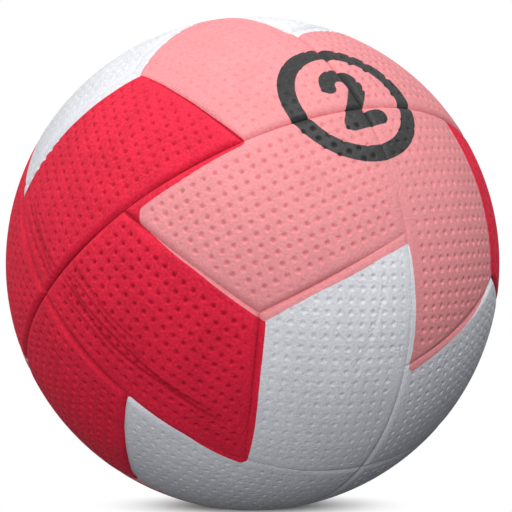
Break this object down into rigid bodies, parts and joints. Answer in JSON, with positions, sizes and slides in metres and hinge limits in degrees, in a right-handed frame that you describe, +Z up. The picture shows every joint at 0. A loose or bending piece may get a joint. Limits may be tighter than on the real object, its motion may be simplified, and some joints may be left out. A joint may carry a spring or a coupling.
{
  "type": "handball",
  "caption": "Inflated ball with a cover of dimpled foam panels in a turning pattern, bonded over a wound carcass, a bladder and its needle valve.",
  "frame": {"origin": "the centre of the ball", "axes": "+Z up as the ball lies on the floor, -Y towards the viewer of the picture, +X to the viewer's right"},
  "size_m": [0.175, 0.175, 0.175],
  "materials": {
    "cover_red": "matte dimpled synthetic leather on foam",
    "cover_white": "matte dimpled synthetic leather on foam",
    "cover_pink": "matte dimpled synthetic leather on foam",
    "carcass_rubber": "dull natural rubber",
    "winding_thread": "wound nylon thread",
    "bladder_rubber": "smooth butyl rubber",
    "valve_rubber": "moulded black rubber"
  },
  "bodies": {
    "root": {"panel_red_1": "cover_red", "panel_red_2": "cover_red", "panel_red_3": "cover_red", "panel_red_4": "cover_red", "panel_red_5": "cover_red", "panel_red_6": "cover_red", "panel_red_7": "cover_red", "panel_red_8": "cover_red", "panel_white_1": "cover_white", "panel_white_2": "cover_white", "panel_white_3": "cover_white", "panel_white_4": "cover_white", "panel_white_5": "cover_white", "panel_white_6": "cover_white", "panel_white_7": "cover_white", "panel_white_8": "cover_white", "panel_pink_1": "cover_pink", "panel_pink_2": "cover_pink", "panel_pink_3": "cover_pink", "panel_pink_4": "cover_pink", "panel_pink_5": "cover_pink", "panel_pink_6": "cover_pink", "panel_pink_7": "cover_pink", "panel_pink_8": "cover_pink", "carcass": "carcass_rubber", "thread_winding": "winding_thread", "bladder": "bladder_rubber", "valve_housing": "valve_rubber", "valve_plug": "valve_rubber"}
  },
  "joints": []
}
